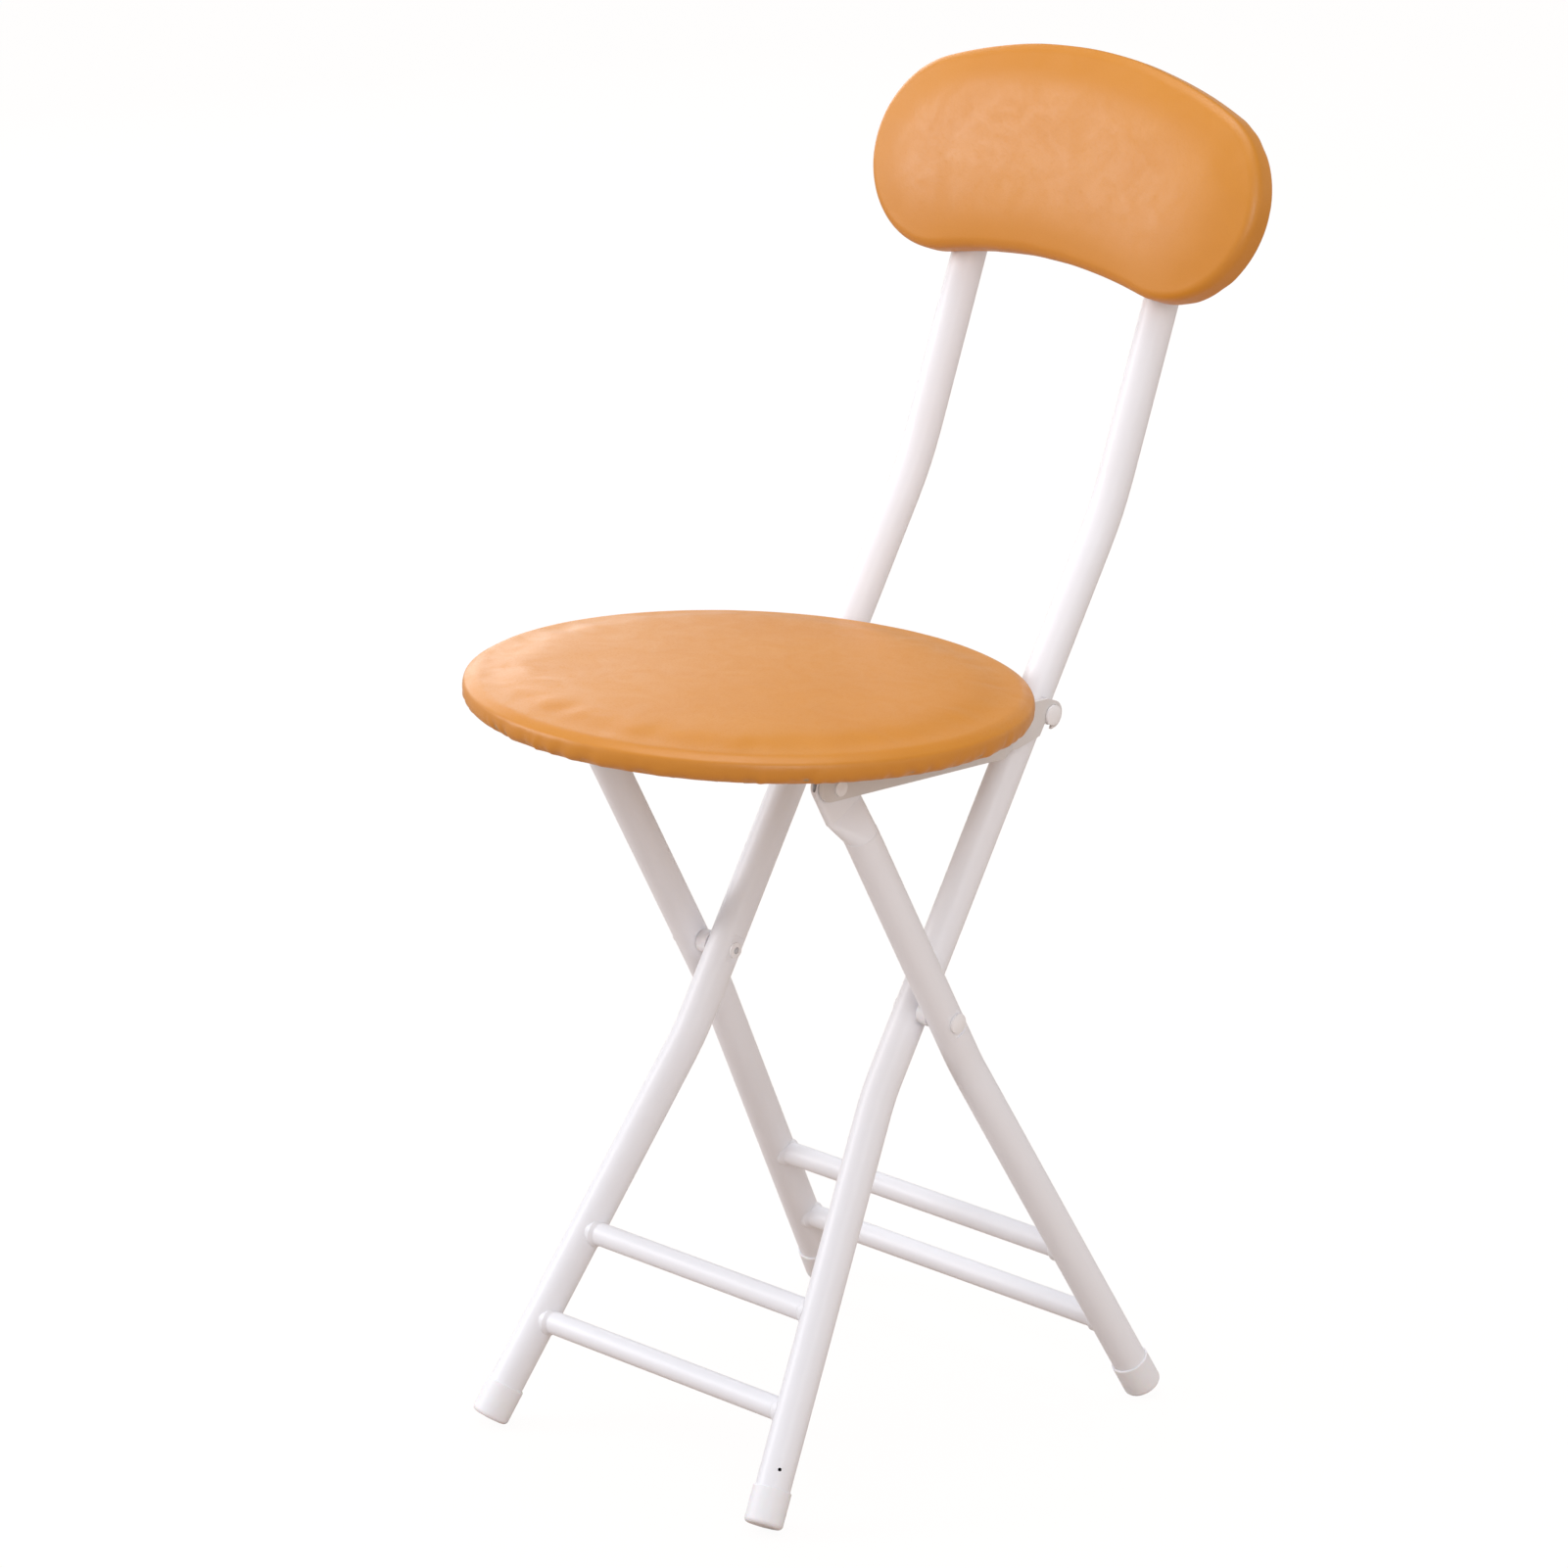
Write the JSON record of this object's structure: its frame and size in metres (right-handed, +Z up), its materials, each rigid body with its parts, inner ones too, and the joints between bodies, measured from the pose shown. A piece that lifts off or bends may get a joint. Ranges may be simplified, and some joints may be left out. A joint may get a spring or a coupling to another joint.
{
  "type": "folding chair",
  "caption": "Low folding chair with a round padded seat, a bean-shaped padded backrest, crossed tube legs and a seat that hooks over pins on the uprights.",
  "frame": {"origin": "on the floor, under the middle of the chair's bounding box", "axes": "+X towards the sitter's left, +Y towards the back, +Z up"},
  "size_m": [0.3, 0.4338, 0.7178],
  "materials": {
    "white_coat": "gloss powder coat on steel tube and sheet",
    "white_plastic": "smooth moulded plastic",
    "zinc_steel": "bright zinc plating",
    "tan_leather": "satin artificial leather",
    "plywood": "raw plywood",
    "foam": "soft open-cell foam"
  },
  "bodies": {
    "back_frame": {"upright_tube_left": "white_coat", "upright_tube_right": "white_coat", "front_rung_upper": "white_coat", "front_rung_lower": "white_coat", "foot_cap_front_left": "white_plastic", "foot_cap_front_right": "white_plastic", "upright_plug_left": "white_plastic", "upright_plug_right": "white_plastic", "backrest_board": "plywood", "backrest_foam": "foam", "backrest_cover": "tan_leather", "backrest_back_panel": "tan_leather", "backrest_bolts": "zinc_steel", "backrest_tee_nuts": "zinc_steel", "pivot_rivet_left": "white_coat", "pivot_rivet_right": "white_coat", "pivot_spacer_left": "white_plastic", "pivot_spacer_right": "white_plastic", "hook_pin_left": "white_coat", "hook_pin_right": "white_coat"},
    "leg_frame": {"leg_tube_left": "white_coat", "leg_tube_right": "white_coat", "rear_rung_upper": "white_coat", "rear_rung_lower": "white_coat", "foot_cap_rear_left": "white_plastic", "foot_cap_rear_right": "white_plastic", "hinge_rivet_left": "white_coat", "hinge_rivet_right": "white_coat", "hinge_washer_left": "white_plastic", "hinge_washer_right": "white_plastic"},
    "seat": {"seat_rail_left": "white_coat", "seat_rail_right": "white_coat", "seat_screws": "zinc_steel", "seat_board": "plywood", "seat_foam": "foam", "seat_cover": "tan_leather"}
  },
  "joints": [
    {"name": "leg_fold", "type": "hinge", "parent": "back_frame", "child": "leg_frame", "pos_m": [0, -0.01444, 0.245], "axis": [-1, 0, 0], "range_deg": [0, 53]},
    {"name": "seat_fold", "type": "hinge", "parent": "leg_frame", "child": "seat", "pos_m": [0, -0.09698, 0.39328], "axis": [1, 0, 0], "range_deg": [0, 111.3]}
  ],
  "couplings": [
    {"joint": "seat_fold", "follows": "leg_fold", "ratio": 2.1}
  ]
}
